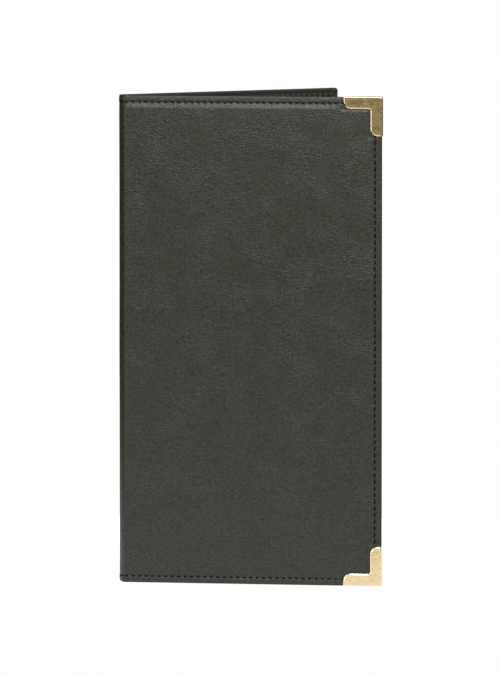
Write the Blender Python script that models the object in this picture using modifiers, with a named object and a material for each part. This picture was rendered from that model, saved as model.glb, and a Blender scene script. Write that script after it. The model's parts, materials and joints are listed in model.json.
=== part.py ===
"""A check presenter: a padded folder of two covers that stands a little open on its lower edges.

Each cover is a board with foam on its outer face, wrapped in leatherette whose edge is turned in,
closed by a sewn lining and fitted with a patch pocket. Two brass caps guard the front cover's
free corners. Every cover is drawn as it lies when the folder is open flat: u runs from its crease
to its free edge, depth runs from its outer face in, z runs up. The spine strip carries both
covers on its two creases, which then fold the folder to the angle at which it stands.
+Z is up, +X runs from the spine to the front cover's free edge, and the front cover faces -Y.
"""

import math

import bmesh
import bpy
import numpy as np
from mathutils import Matrix, Vector

MM = 0.001

# Outline of one cover
COVER_HEIGHT = 254.0 * MM
COVER_REACH = 136.0 * MM
CORNER_RADIUS = 1.6 * MM
EDGE_ROUND = 0.8 * MM
OPENING_ANGLE = math.radians(42.7)

# Thickness of each layer, and the glue line between two of them
SKIN = 0.6 * MM
FOAM = 0.8 * MM
BOARD = 1.1 * MM
LINING = 0.3 * MM
POCKET_SHEET = 0.4 * MM
GLUE_GAP = 0.2 * MM

# How far each layer stays from the cover's edge
HEM_WIDTH = 8.0 * MM
LINING_INSET = 1.2 * MM
PAD_INSET = 4.3 * MM
PAD_SLOPE = 1.8 * MM

# Creases: what lies behind the skin starts this far from the crease axis
CREASE_SETBACK = 2.2 * MM
CREASE_GAP = 0.2 * MM
SPINE_LINING_INSET = 1.0 * MM
PAD_CREASE_INSET = 3.4 * MM
CLOSED_CLEARANCE = 0.3 * MM

# Sewing
STITCH_PITCH = 3.45 * MM
STITCH_INSET = 3.4 * MM
STITCH_ARCH = 0.15 * MM
THREAD = 0.35 * MM
THREAD_GAP = 0.2 * MM
SEAM_TURN = 1.2 * MM

# Patch pockets and the card pocket
POCKET_MARGIN = 9.0 * MM
POCKET_CREASE_MARGIN = 7.0 * MM
POCKET_HEIGHT = 112.0 * MM
POCKET_CORNER = 3.0 * MM
WELT_WIDTH = 3.5 * MM
POCKET_SEAM_INSET = 1.6 * MM
CARD_POCKET_WIDTH = 94.0 * MM
CARD_POCKET_HEIGHT = 50.0 * MM
CARD_POCKET_DROP = 14.0 * MM

# Corner caps
CAP_LEG = 21.0 * MM
CAP_ARM = 6.6 * MM
CAP_METAL = 0.4 * MM
CAP_GAP = 0.2 * MM
CAP_END_RADIUS = 4.6 * MM
CAP_CORNER_RADIUS = 1.2 * MM
CAP_EDGE_ROUND = 0.3 * MM
CAP_CLEARANCE = 0.4 * MM

# Depths of the layers, measured from the crease axis, which lies in the middle of the border's skin
SKIN_OUTER = -SKIN / 2
SKIN_INNER = SKIN / 2
PAD_RISE = FOAM + GLUE_GAP
FIELD_OUTER = SKIN_OUTER - PAD_RISE
FOAM_OUTER = FIELD_OUTER + SKIN + GLUE_GAP
BOARD_OUTER = SKIN_INNER + GLUE_GAP
BOARD_INNER = BOARD_OUTER + BOARD
HEM_OUTER = BOARD_INNER + GLUE_GAP
HEM_INNER = HEM_OUTER + SKIN
LINING_OUTER = HEM_INNER + GLUE_GAP
LINING_INNER = LINING_OUTER + LINING
POCKET_RISE = 2 * (GLUE_GAP + POCKET_SHEET)
THREAD_RISE = THREAD_GAP + THREAD + STITCH_ARCH

# Closed, the two linings lie this far apart: both pockets, the card pocket and its thread
CLOSED_GAP = 3 * POCKET_RISE + THREAD_RISE + CLOSED_CLEARANCE
SPINE_WIDTH = 2 * LINING_INNER + CLOSED_GAP
FOLD_PER_CREASE = (math.pi - OPENING_ANGLE) / 2

HALF_HEIGHT = COVER_HEIGHT / 2
CAP_PROUD = CAP_METAL + CAP_GAP
CAP_REACH = COVER_REACH + CAP_PROUD
CAP_TOP = HALF_HEIGHT + CAP_PROUD
FREE_CORNERS = (CORNER_RADIUS, 0, 0, CORNER_RADIUS)
LOWER_CORNERS = (0, 0, POCKET_CORNER, POCKET_CORNER)
BEYOND = 6.0 * MM
ARC_STEPS = 4
BEAD_SHARE = 0.49
WELD = 1e-6


def start_scene():
    """Clears the scene and makes one collection for the parts and one for the cutters."""
    for old in list(bpy.data.objects):
        bpy.data.objects.remove(old, do_unlink=True)
    made = []
    for name in ("check_presenter", "cutters"):
        collection = bpy.data.collections.new(name)
        bpy.context.scene.collection.children.link(collection)
        made.append(collection)
    return made


PARTS, CUTTERS = start_scene()


def material(name, colour, roughness, metallic=0.0):
    """A plain Principled material."""
    made = bpy.data.materials.new(name)
    made.use_nodes = True
    shader = made.node_tree.nodes["Principled BSDF"]
    shader.inputs["Base Color"].default_value = (*colour, 1.0)
    shader.inputs["Roughness"].default_value = roughness
    shader.inputs["Metallic"].default_value = metallic
    return made


LEATHERETTE = material("leatherette", (0.062, 0.060, 0.053), 0.55)
LINING_CLOTH = material("lining", (0.022, 0.020, 0.018), 0.70)
POCKET_CLOTH = material("pocket", (0.030, 0.028, 0.026), 0.60)
GREYBOARD = material("greyboard", (0.36, 0.34, 0.30), 0.90)
FOAM_SHEET = material("foam", (0.55, 0.55, 0.52), 0.95)
SEWING_THREAD = material("thread", (0.012, 0.012, 0.011), 0.60)
BRASS = material("brass", (0.72, 0.55, 0.24), 0.28, 1.0)


class Body:
    """A rigid group of pieces: a pivot on its crease axis, and the side on which its cover lies."""

    def __init__(self, name, side, parent=None, place=(0, 0, 0), turn=0.0):
        self.side = side
        self.pivot = bpy.data.objects.new(name + "_pivot", None)
        PARTS.objects.link(self.pivot)
        self.pivot.parent = parent.pivot if parent else None
        self.pivot.location = place
        self.pivot.rotation_euler = (0, 0, turn)


def place_piece(piece, body, finish):
    """Puts a finished piece on its body. Without a finish it's a cutter."""
    (PARTS if finish else CUTTERS).objects.link(piece)
    piece.parent = body.pivot
    if finish:
        piece.data.materials.append(finish)
    else:
        piece.hide_render = True
        piece.display_type = "WIRE"
    return piece


def piece_from(bm, name, body, finish):
    """A mesh object with its faces turned outwards."""
    bmesh.ops.recalc_face_normals(bm, faces=bm.faces)
    mesh = bpy.data.meshes.new(name)
    bm.to_mesh(mesh)
    bm.free()
    return place_piece(bpy.data.objects.new(name, mesh), body, finish)


def block(name, body, u_span, depth_span, z_span, finish=None):
    """A box between these limits."""
    bm = bmesh.new()
    bmesh.ops.create_cube(bm, size=1.0)
    spans = (tuple(body.side * u for u in u_span), depth_span, z_span)
    bmesh.ops.scale(bm, vec=[abs(far - near) for near, far in spans], verts=bm.verts)
    bmesh.ops.translate(bm, vec=[(near + far) / 2 for near, far in spans], verts=bm.verts)
    return piece_from(bm, name, body, finish)


def slab_mesh(body, outline, depth_span):
    """A flat sheet drawn as a filled 2D curve in (u, z), stood up and made a welded mesh."""
    near, far = depth_span
    curve = bpy.data.curves.new("outline", "CURVE")
    curve.dimensions = "2D"
    curve.fill_mode = "BOTH"
    curve.extrude = (far - near) / 2
    spline = curve.splines.new("POLY")
    spline.points.add(len(outline) - 1)
    for point, (u, z) in zip(spline.points, outline):
        point.co = (body.side * u, z, 0, 1)
    spline.use_cyclic_u = True
    drawing = bpy.data.objects.new("outline", curve)
    CUTTERS.objects.link(drawing)
    middle = Matrix.Translation((0, (near + far) / 2, 0))
    drawing.matrix_world = middle @ Matrix.Rotation(math.pi / 2, 4, "X")
    depsgraph = bpy.context.evaluated_depsgraph_get()
    filled = bpy.data.meshes.new_from_object(drawing.evaluated_get(depsgraph))
    filled.transform(drawing.matrix_world)
    bpy.data.objects.remove(drawing)
    bm = bmesh.new()
    bm.from_mesh(filled)
    bpy.data.meshes.remove(filled)
    bmesh.ops.remove_doubles(bm, verts=bm.verts, dist=WELD)
    bmesh.ops.dissolve_limit(bm, angle_limit=math.radians(0.1), verts=bm.verts, edges=bm.edges)
    return bm


def slab(name, body, outline, depth_span, finish=None):
    """A flat sheet of this outline."""
    return piece_from(slab_mesh(body, outline, depth_span), name, body, finish)


def mound(name, body, capped, shrink, depths, finish=None):
    """A pad with a sloped rim, shrunk by this much from the skin's own field.

    It rises from its foot to its crown at the slope of the field, and is flat behind.
    """
    crown, foot, back = depths
    slope = PAD_SLOPE * (foot - crown) / PAD_RISE
    outline = pad_outline(PAD_INSET + PAD_SLOPE + shrink - slope, capped)
    bm = slab_mesh(body, outline, (foot, back))
    top = min(bm.faces, key=lambda face: face.calc_center_median().y)
    bmesh.ops.inset_region(bm, faces=[top], thickness=slope, use_even_offset=True)
    bmesh.ops.translate(bm, vec=Vector((0, crown - foot, 0)), verts=top.verts)
    return piece_from(bm, name, body, finish)


def combine(piece, other, operation):
    """Cuts a piece by another, or joins the other to it."""
    boolean = piece.modifiers.new(other.name, "BOOLEAN")
    boolean.operation = operation
    boolean.object = other
    return piece


def soften(piece, width, segments=2):
    """Rounds every sharp edge of a piece."""
    bevel = piece.modifiers.new("soften", "BEVEL")
    bevel.width = width
    bevel.segments = segments
    bevel.limit_method = "ANGLE"
    bevel.angle_limit = math.radians(50)
    return piece


def arc(centre, radius, start, end):
    """Points on an arc in (u, z), from start to end degrees."""
    turns = [math.radians(start + (end - start) * step / ARC_STEPS) for step in range(ARC_STEPS + 1)]
    return [(centre[0] + radius * math.cos(turn), centre[1] + radius * math.sin(turn)) for turn in turns]


def sheet_outline(u_span, z_span, radii):
    """A rectangle whose corners have these radii, anticlockwise from the upper one at the free edge."""
    (u0, u1), (z0, z1) = u_span, z_span
    corners = ((u1, z1), (u0, z1), (u0, z0), (u1, z0))
    points = []
    for quarter, ((u, z), radius) in enumerate(zip(corners, radii)):
        if radius == 0:
            points.append((u, z))
            continue
        start = 90 * quarter
        inward = math.radians(start + 45)
        reach = radius * math.sqrt(2)
        centre = (u - reach * math.cos(inward), z - reach * math.sin(inward))
        points += arc(centre, radius, start, start + 90)
    return points


def pad_outline(inset, capped):
    """The padded field's edge, inset from the cover's edge, and stepped in round the caps if it has them."""
    past_foot = inset - PAD_INSET
    crease = PAD_CREASE_INSET + past_foot
    free = COVER_REACH - inset
    top = HALF_HEIGHT - inset
    if not capped:
        return [(crease, -top), (free, -top), (free, top), (crease, top)]
    arm = CAP_ARM - CAP_PROUD + CAP_CLEARANCE + past_foot
    leg = CAP_LEG - CAP_PROUD + CAP_CLEARANCE + past_foot
    stepped = [
        (free, HALF_HEIGHT - leg),
        (COVER_REACH - arm, HALF_HEIGHT - leg),
        (COVER_REACH - arm, HALF_HEIGHT - arm),
        (COVER_REACH - leg, HALF_HEIGHT - arm),
        (COVER_REACH - leg, top),
        (crease, top),
    ]
    lower = [(u, -z) for u, z in reversed(stepped)]
    return lower + stepped


def make_skin(name, body, capped):
    """The leatherette of one cover: a sheet wrapped round the board's edges, turned in on three sides."""
    start = SKIN / 2 + CREASE_GAP
    edge = (-HALF_HEIGHT, HALF_HEIGHT)
    outline = sheet_outline((-BEYOND, COVER_REACH), edge, FREE_CORNERS)
    skin = soften(slab(name, body, outline, (SKIN_OUTER, HEM_INNER), LEATHERETTE), EDGE_ROUND)

    middle = (SKIN_OUTER + SKIN_INNER) / 2
    field = mound(name + "_field", body, capped, 0, (FIELD_OUTER, middle, BOARD_OUTER))
    combine(skin, field, "UNION")

    inside = HALF_HEIGHT - SKIN
    board_room = block(
        name + "_board_room",
        body,
        (-2 * BEYOND, COVER_REACH - SKIN),
        (SKIN_INNER, HEM_OUTER),
        (-inside, inside),
    )
    combine(skin, board_room, "DIFFERENCE")
    foam_room = mound(name + "_foam_room", body, capped, SKIN, (FIELD_OUTER + SKIN, BOARD_OUTER, BOARD_INNER))
    combine(skin, foam_room, "DIFFERENCE")

    window = HALF_HEIGHT - HEM_WIDTH
    hem_window = block(
        name + "_hem_window",
        body,
        (-2 * BEYOND, COVER_REACH - HEM_WIDTH),
        ((HEM_OUTER + BOARD_INNER) / 2, HEM_INNER + BEYOND),
        (-window, window),
    )
    combine(skin, hem_window, "DIFFERENCE")

    tall = HALF_HEIGHT + BEYOND
    crease_relief = block(
        name + "_crease_relief",
        body,
        (-2 * BEYOND, CREASE_SETBACK),
        (SKIN_INNER, HEM_INNER + BEYOND),
        (-tall, tall),
    )
    combine(skin, crease_relief, "DIFFERENCE")
    crease_end = block(name + "_crease_end", body, (-2 * BEYOND, start), (-BEYOND, BEYOND), (-tall, tall))
    combine(skin, crease_end, "DIFFERENCE")
    return skin


def make_foam(name, body, capped):
    """The foam sheet between the board and the raised field of the skin."""
    depths = (FOAM_OUTER, FOAM_OUTER + FOAM / 2, FOAM_OUTER + FOAM)
    return mound(name, body, capped, SKIN + GLUE_GAP, depths, FOAM_SHEET)


def make_board(name, body):
    """The stiff board that the skin wraps."""
    edge = SKIN + GLUE_GAP
    high = HALF_HEIGHT - edge
    return block(
        name,
        body,
        (CREASE_SETBACK, COVER_REACH - edge),
        (BOARD_OUTER, BOARD_INNER),
        (-high, high),
        GREYBOARD,
    )


def make_lining(name, body):
    """The sheet that closes a cover on its inside, over the turned edge."""
    high = HALF_HEIGHT - LINING_INSET
    outline = sheet_outline((CREASE_SETBACK, COVER_REACH - LINING_INSET), (-high, high), FREE_CORNERS)
    return slab(name, body, outline, (LINING_OUTER, LINING_INNER), LINING_CLOTH)


def pocket_frame():
    """The limits in u and z of a patch pocket."""
    u_span = (POCKET_CREASE_MARGIN, COVER_REACH - POCKET_MARGIN)
    bottom = -HALF_HEIGHT + POCKET_MARGIN
    return u_span, (bottom, bottom + POCKET_HEIGHT)


def card_frame():
    """The limits in u and z of the card pocket, centred across the patch pocket below its mouth."""
    (u0, u1), (_, mouth) = pocket_frame()
    middle = (u0 + u1) / 2
    top = mouth - CARD_POCKET_DROP
    return (middle - CARD_POCKET_WIDTH / 2, middle + CARD_POCKET_WIDTH / 2), (top - CARD_POCKET_HEIGHT, top)


def make_pocket(name, body, frame, base):
    """A pocket sewn on at depth base: its panel, the turned-under edge that spaces it, and its seam."""
    (u0, u1), (z0, z1) = frame
    welt_depth = (base + GLUE_GAP, base + GLUE_GAP + POCKET_SHEET)
    panel_depth = (welt_depth[1] + GLUE_GAP, base + POCKET_RISE)
    slab(name, body, sheet_outline((u0, u1), (z0, z1), LOWER_CORNERS), panel_depth, POCKET_CLOTH)
    upright = (z0 + POCKET_CORNER, z1)
    foot = (u0 + WELT_WIDTH + GLUE_GAP, u1 - WELT_WIDTH - GLUE_GAP)
    block(name + "_bottom_welt", body, foot, welt_depth, (z0, z0 + WELT_WIDTH), POCKET_CLOTH)
    block(name + "_crease_welt", body, (u0, u0 + WELT_WIDTH), welt_depth, upright, POCKET_CLOTH)
    block(name + "_free_welt", body, (u1 - WELT_WIDTH, u1), welt_depth, upright, POCKET_CLOTH)
    left, right = u0 + POCKET_SEAM_INSET, u1 - POCKET_SEAM_INSET
    low, high = z0 + POCKET_SEAM_INSET, z1 - POCKET_SEAM_INSET
    line = turned([(left, high), (left, low), (right, low), (right, high)], POCKET_CORNER)
    make_seam(name + "_thread", body, line, panel_depth[1], 1)


def turned(line, radius):
    """A line in (u, z) with each inner corner replaced by two points, so that a tube can turn there."""
    points = [Vector(line[0])]
    for before, corner, after in zip(line, line[1:], line[2:]):
        corner = Vector(corner)
        points.append(corner + (Vector(before) - corner).normalized() * radius)
        points.append(corner + (Vector(after) - corner).normalized() * radius)
    points.append(Vector(line[-1]))
    return [tuple(point) for point in points]


def make_seam(name, body, line, surface, away):
    """A thread laid along a line on the face at depth surface, arched away from it over each stitch."""
    dip = surface + away * (THREAD_GAP + THREAD / 2)
    crest = dip + away * STITCH_ARCH
    places = []
    for (u0, z0), (u1, z1) in zip(line, line[1:]):
        count = 2 * max(1, round(math.dist((u0, z0), (u1, z1)) / STITCH_PITCH))
        for step in range(count):
            share = step / count
            depth = crest if step % 2 else dip
            places.append((body.side * (u0 + (u1 - u0) * share), depth, z0 + (z1 - z0) * share))
    places.append((body.side * line[-1][0], dip, line[-1][1]))
    curve = bpy.data.curves.new(name, "CURVE")
    curve.dimensions = "3D"
    curve.bevel_depth = THREAD / 2
    curve.bevel_resolution = 0
    curve.use_fill_caps = True
    spline = curve.splines.new("POLY")
    spline.points.add(len(places) - 1)
    for point, place in zip(spline.points, places):
        point.co = (*place, 1)
    return place_piece(bpy.data.objects.new(name, curve), body, SEWING_THREAD)


def seam_lines(capped):
    """The stitch line round a cover, in one run, or in three that stop at the caps."""
    high = HALF_HEIGHT - STITCH_INSET
    free = COVER_REACH - STITCH_INSET
    start = CREASE_SETBACK
    if not capped:
        line = [(start, high), (free, high), (free, -high), (start, -high)]
        return {"": turned(line, SEAM_TURN)}
    stop = CAP_LEG - CAP_PROUD + CAP_CLEARANCE
    return {
        "_top": [(start, high), (COVER_REACH - stop, high)],
        "_side": [(free, HALF_HEIGHT - stop), (free, stop - HALF_HEIGHT)],
        "_bottom": [(start, -high), (COVER_REACH - stop, -high)],
    }


def make_cover_seams(prefix, body, capped):
    """The needle thread on a cover's outer face and the bobbin thread on its lining."""
    for place, line in seam_lines(capped).items():
        make_seam(f"{prefix}{place}_needle_thread", body, line, SKIN_OUTER, -1)
        make_seam(f"{prefix}{place}_bobbin_thread", body, line, LINING_INNER, 1)


def make_spine(body):
    """The strip of skin between the creases, with a bead on each, and the lining strip behind it."""
    edge = (-HALF_HEIGHT, HALF_HEIGHT)
    strip = block("spine_skin", body, (-SPINE_WIDTH, 0), (SKIN_OUTER, SKIN_INNER), edge, LEATHERETTE)
    bevel = strip.modifiers.new("crease_beads", "BEVEL")
    bevel.width = SKIN * BEAD_SHARE
    bevel.segments = 3
    bevel.limit_method = "WEIGHT"
    upright = strip.data.attributes.new("bevel_weight_edge", "FLOAT", "EDGE")
    for side in strip.data.edges:
        low, high = (strip.data.vertices[index].co for index in side.vertices)
        upright.data[side.index].value = 1.0 if abs(low.z - high.z) > HALF_HEIGHT else 0.0
    inner = SKIN_INNER + GLUE_GAP + LINING
    width = (SPINE_LINING_INSET - SPINE_WIDTH, -SPINE_LINING_INSET)
    high = HALF_HEIGHT - LINING_INSET
    block("spine_lining", body, width, (inner - LINING, inner), (-high, high), LINING_CLOTH)
    for place, level in (("top", HALF_HEIGHT - STITCH_INSET), ("bottom", STITCH_INSET - HALF_HEIGHT)):
        line = [(u, level) for u in width]
        make_seam(f"spine_{place}_needle_thread", body, line, SKIN_OUTER, -1)
        make_seam(f"spine_{place}_bobbin_thread", body, line, inner, 1)


def cap_outline(up):
    """The L of a corner cap: square where it meets the cover's edge, rounded at the inner end of each arm."""
    inner_u, inner_z = CAP_REACH - CAP_ARM, CAP_TOP - CAP_ARM
    end_u, end_z = CAP_REACH - CAP_LEG, CAP_TOP - CAP_LEG
    radius, corner = CAP_END_RADIUS, CAP_CORNER_RADIUS
    points = [(CAP_REACH, end_z)]
    points += arc((CAP_REACH - corner, CAP_TOP - corner), corner, 0, 90)
    points.append((end_u, CAP_TOP))
    points += arc((end_u + radius, inner_z + radius), radius, 180, 270)
    points.append((inner_u, inner_z))
    points += arc((inner_u + radius, end_z + radius), radius, 180, 270)
    return [(u, up * z) for u, z in points]


def make_cap(name, body, up):
    """A brass cap pressed over a corner: an L on each face, joined by a wall along both edges."""
    outer = SKIN_OUTER - CAP_GAP - CAP_METAL
    inner = LINING_INNER + CAP_GAP + CAP_METAL
    cap = soften(slab(name, body, cap_outline(up), (outer, inner), BRASS), CAP_EDGE_ROUND)
    near, far = sorted((up * (CAP_TOP - CAP_LEG - BEYOND), up * (CAP_TOP - CAP_METAL)))
    slot = block(
        name + "_slot",
        body,
        (CAP_REACH - CAP_LEG - BEYOND, CAP_REACH - CAP_METAL),
        (outer + CAP_METAL, inner - CAP_METAL),
        (near, far),
    )
    return combine(cap, slot, "DIFFERENCE")


def make_cover(prefix, body, capped):
    """Everything that both covers have."""
    make_skin(prefix + "_skin", body, capped)
    make_foam(prefix + "_foam_pad", body, capped)
    make_board(prefix + "_board", body)
    make_lining(prefix + "_lining", body)
    make_pocket(prefix + "_pocket", body, pocket_frame(), LINING_INNER)
    make_cover_seams(prefix, body, capped)


def stand_on_origin(root):
    """Moves the folder so that the middle of its footprint lies on the origin."""
    bpy.context.view_layer.update()
    depsgraph = bpy.context.evaluated_depsgraph_get()
    lowest, highest = [], []
    for piece in PARTS.objects:
        if piece.type == "EMPTY":
            continue
        shape = piece.evaluated_get(depsgraph)
        mesh = shape.to_mesh()
        points = np.empty(3 * len(mesh.vertices), np.float32)
        mesh.vertices.foreach_get("co", points)
        turn = np.array(shape.matrix_world)
        points = points.reshape(-1, 3) @ turn[:3, :3].T + turn[:3, 3]
        lowest.append(points.min(axis=0))
        highest.append(points.max(axis=0))
        shape.to_mesh_clear()
    low, high = np.min(lowest, axis=0), np.max(highest, axis=0)
    root.location -= Vector(((low[0] + high[0]) / 2, (low[1] + high[1]) / 2, low[2]))


def main():
    """Makes the front cover, the spine on its crease, and the back cover on the spine's other crease."""
    front = Body("front_cover", 1)
    spine = Body("spine", 1, front, turn=-FOLD_PER_CREASE)
    back = Body("back_cover", -1, spine, place=(-SPINE_WIDTH, 0, 0), turn=-FOLD_PER_CREASE)
    make_cover("front", front, capped=True)
    make_cap("top_corner_cap", front, up=1)
    make_cap("bottom_corner_cap", front, up=-1)
    make_spine(spine)
    make_cover("back", back, capped=False)
    make_pocket("card_pocket", back, card_frame(), LINING_INNER + POCKET_RISE)
    stand_on_origin(front.pivot)


main()
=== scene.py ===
import functools
import json
import math
from types import SimpleNamespace

import bpy
import numpy as np
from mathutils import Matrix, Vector


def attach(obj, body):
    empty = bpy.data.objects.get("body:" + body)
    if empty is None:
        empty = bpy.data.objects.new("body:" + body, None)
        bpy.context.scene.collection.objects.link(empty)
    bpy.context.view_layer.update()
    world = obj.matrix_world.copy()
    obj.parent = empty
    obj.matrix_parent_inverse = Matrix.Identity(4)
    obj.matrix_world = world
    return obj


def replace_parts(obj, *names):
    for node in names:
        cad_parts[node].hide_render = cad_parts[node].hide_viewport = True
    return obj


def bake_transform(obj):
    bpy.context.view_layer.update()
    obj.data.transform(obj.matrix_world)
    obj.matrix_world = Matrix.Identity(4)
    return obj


bl_info = {
    "name": "Check Presenter",
    "version": (1, 0, 0),
    "blender": (4, 5, 0),
    "location": "3D View > Sidebar > Check Presenter",
    "description": "Dresses a bill folder in leatherette, lining, pockets, stitches and brass caps",
    "category": "Add Mesh",
}

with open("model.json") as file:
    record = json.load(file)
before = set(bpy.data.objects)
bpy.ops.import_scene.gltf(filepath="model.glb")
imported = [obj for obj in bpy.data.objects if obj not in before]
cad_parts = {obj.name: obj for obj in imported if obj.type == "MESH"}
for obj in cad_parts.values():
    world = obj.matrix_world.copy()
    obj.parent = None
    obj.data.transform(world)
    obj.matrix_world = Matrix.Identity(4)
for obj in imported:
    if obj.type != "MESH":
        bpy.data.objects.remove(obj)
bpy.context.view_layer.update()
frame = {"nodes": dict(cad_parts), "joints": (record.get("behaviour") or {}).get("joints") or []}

MM = 0.001
JOINTS = {joint["name"]: joint for joint in frame["joints"]}
FOLD = math.radians(JOINTS["front_crease"]["range_deg"][1])
FRONT_CREASE = np.array(JOINTS["front_crease"]["pos_m"])
BACK_CREASE = np.array(JOINTS["back_crease"]["pos_m"])
SPINE_WIDTH = float(np.linalg.norm(BACK_CREASE - FRONT_CREASE))
MID_SPINE = -SPINE_WIDTH / 2


# Where things lie on a cover

def read(items, name, width, kind=np.float32):
    """One value of every item, as the rows of an array."""
    found = np.empty(width * len(items), kind)
    items.foreach_get(name, found)
    return found.reshape(-1, width)


class Cover:
    """A cover's own directions.

    u runs from its crease to its free edge, depth runs inwards, and z starts at mid-height.
    """

    def __init__(self, name, crease, along, inward, mirrored=False, capped=False):
        self.name, self.body = name, name + "_cover"
        self.crease, self.mirrored, self.capped = crease, mirrored, capped
        self.along, self.inward = np.array([*along, 0.0]), np.array([*inward, 0.0])

    def world(self, u, depth, z):
        """Points given in the cover's own directions, in the frame."""
        u, depth, z = (value[..., None] for value in np.broadcast_arrays(u, depth, z))
        return self.crease + u * self.along + depth * self.inward + z * np.array([0.0, 0.0, 1.0])

    def point(self, u, depth):
        """One such point at mid-height, as a tuple."""
        return tuple(float(value) for value in self.world(u, depth, 0.0))

    def limits(self, node):
        """The lowest and highest u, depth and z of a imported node."""
        points = read(frame["nodes"][node].data.vertices, "co", 3).astype(float) - self.crease
        own = np.stack([points @ self.along, points @ self.inward, points[:, 2]], axis=1)
        return own.min(axis=0), own.max(axis=0)


FRONT = Cover("front", FRONT_CREASE, (1.0, 0.0), (0.0, 1.0), capped=True)
BACK = Cover(
    "back",
    BACK_CREASE,
    (-math.cos(2 * FOLD), math.sin(2 * FOLD)),
    (math.sin(2 * FOLD), math.cos(2 * FOLD)),
    mirrored=True,
)

SKIN_HIGH, LINING_HIGH = FRONT.limits("front_skin")[1], FRONT.limits("front_lining")[1]
CAP_LOW, CAP_HIGH = FRONT.limits("top_corner_cap")
SEAM_LOW, SEAM_HIGH = FRONT.limits("front_side_needle_thread")
REACH, HEM_DEPTH, HALF = (float(value) for value in SKIN_HIGH)
LINING_INSET, LINING_FACE = REACH - float(LINING_HIGH[0]), float(LINING_HIGH[1])
STITCH_INSET = REACH - float(SEAM_LOW[0] + SEAM_HIGH[0]) / 2
CAP_END, CAP_BELOW = float(CAP_LOW[0]), float(CAP_LOW[1])
CAP_PROUD, CAP_ABOVE = float(CAP_HIGH[0]) - REACH, float(CAP_HIGH[1])
CAP_LEG = float(CAP_HIGH[0] - CAP_LOW[0])

# The caps as they show: pressed on closer than the solids, with a narrower arm
PRESSED_IN = 0.35 * MM
LEG = CAP_LEG - 0.5 * MM
ARM, ARM_ROUND = 6.4 * MM, 3.9 * MM

# Forms that the pieces share
LINING_DEPTH = 1.32 * MM
PAST_MIDDLE = SPINE_WIDTH * 0.6
END_LEAN, SIDE_LEAN = 0.30 * MM, 0.2 * MM
NEEDLE_SUNK = -0.15 * MM
BOBBIN_SUNK = NEEDLE_SUNK * 0.5
POCKET_SEAM, POCKET_START, POCKET_TURN = 1.6 * MM, 1.7 * MM, 3.5 * MM

# How many of a sheet's first lines along u stay close together, for the bend at the crease
FINE_SKIN, FINE_LINING = 24, 32

# Distances in mm from a sheet's sewn edges at which its mesh has a line
BORDER_LINES = (
    10.1, 9.1, 8.2, 7.75, 7.3, 6.85, 6.45, 6.1, 5.65, 5.2, 4.75, 4.3, 3.95, 3.65,
    3.4, 3.15, 2.85, 2.5, 2.0, 1.6, 1.33, 1.07, 0.8,
)
LINING_LINES = (
    10.1, 8.6, 7.2, 6.0, 5.2, 4.6, 4.15, 3.8, 3.6, 3.4, 3.2, 2.95, 2.6, 2.15, 1.7, 1.45, 1.3, 1.2,
)
POCKET_LINES = (5.4, 4.6, 4.1, 3.8, 3.5, 3.1, 2.6, 2.1, 1.8, 1.6, 1.4, 1.1, 0.8, 0.55, 0.35)


# What a user may change

def length(name, description, default, low=0.0, high=20.0):
    """A length property given in millimetres."""
    return bpy.props.FloatProperty(
        name=name,
        description=description,
        default=default * MM,
        min=low * MM,
        max=high * MM,
        subtype="DISTANCE",
        unit="LENGTH",
        precision=5,
    )


def colour(name, description, default):
    """A colour property, in linear light."""
    return bpy.props.FloatVectorProperty(
        name=name,
        description=description,
        default=default,
        size=3,
        min=0.0,
        max=1.0,
        subtype="COLOR",
    )


class PresenterSizes(bpy.types.PropertyGroup):
    """Sizes of the sewn and padded work."""

    skin: length("Leatherette", "Thickness of the leatherette", 0.6)
    lining: length("Lining", "Thickness of the lining", 0.3)
    pocket: length("Pocket sheet", "Thickness of a pocket's sheet", 0.4)
    crease_reach: length("Crease reach", "From the back crease to the fold's start", 3.2, 1.0, 4.4)
    front_reach: length("Front crease reach", "The same at the sharper front crease", 2.3, 1.0, 4.4)
    edge_round: length("Edge round", "Radius of the turned edge", 0.8)
    pad_rise: length("Pad rise", "How far the padded field stands above the border", 1.0)
    pad_slope: length("Pad slope", "Width of the field's sloped rim", 3.1)
    pad_inset: length("Pad inset", "Width of the sewn border", 3.5)
    pitch: length("Stitch pitch", "From one stitch to the next", 3.45)
    long_stitch: length("Side stitch", "Thread that shows in a stitch of the side seam", 2.2)
    short_stitch: length("End stitch", "Thread that shows in a stitch of an end seam", 1.35)
    thread: length("Thread", "Diameter of the needle thread", 0.46)
    bobbin: length("Bobbin thread", "Diameter of the bobbin thread", 0.36)
    bead: length("Cap bevel", "Width of the sloped rim of a corner cap", 0.68)
    bead_drop: length("Cap bevel drop", "How far that rim slopes down", 0.28)
    cap_corner: length("Cap corner", "Radius of a cap's outer corner", 1.3)
    cap_round: length("Cap round", "Radius of a cap's outer edges", 0.5)
    cap_fillet: length("Cap fillet", "Radius of a cap's inner corner", 1.3)
    grain: length("Grain", "Depth of the leatherette's grain", 0.115)
    metal: length("Cap metal", "Thickness of a corner cap", 0.4)


class PresenterColours(bpy.types.PropertyGroup):
    """Colours of the finishes."""

    leather: colour("Leatherette", "Colour of the leatherette", (0.0292, 0.0284, 0.0200))
    lining: colour("Lining", "Colour of the lining", (0.0112, 0.0092, 0.0064))
    pocket: colour("Pockets", "Colour of the pocket sheets", (0.040, 0.0375, 0.033))
    thread: colour("Thread", "Colour of the thread", (0.0042, 0.0042, 0.0037))
    brass: colour("Brass", "Colour of the corner caps", (0.78, 0.65, 0.39))
    board: colour("Board", "Colour of the board inside", (0.36, 0.34, 0.30))
    foam: colour("Foam", "Colour of the foam inside", (0.55, 0.55, 0.52))
    floor: colour("Floor", "Colour of the floor", (0.10, 0.10, 0.098))


def sizes():
    """The sizes as they are set."""
    return bpy.context.scene.presenter_sizes


def colours():
    """The colours as they are set."""
    return bpy.context.scene.presenter_colours


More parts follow.
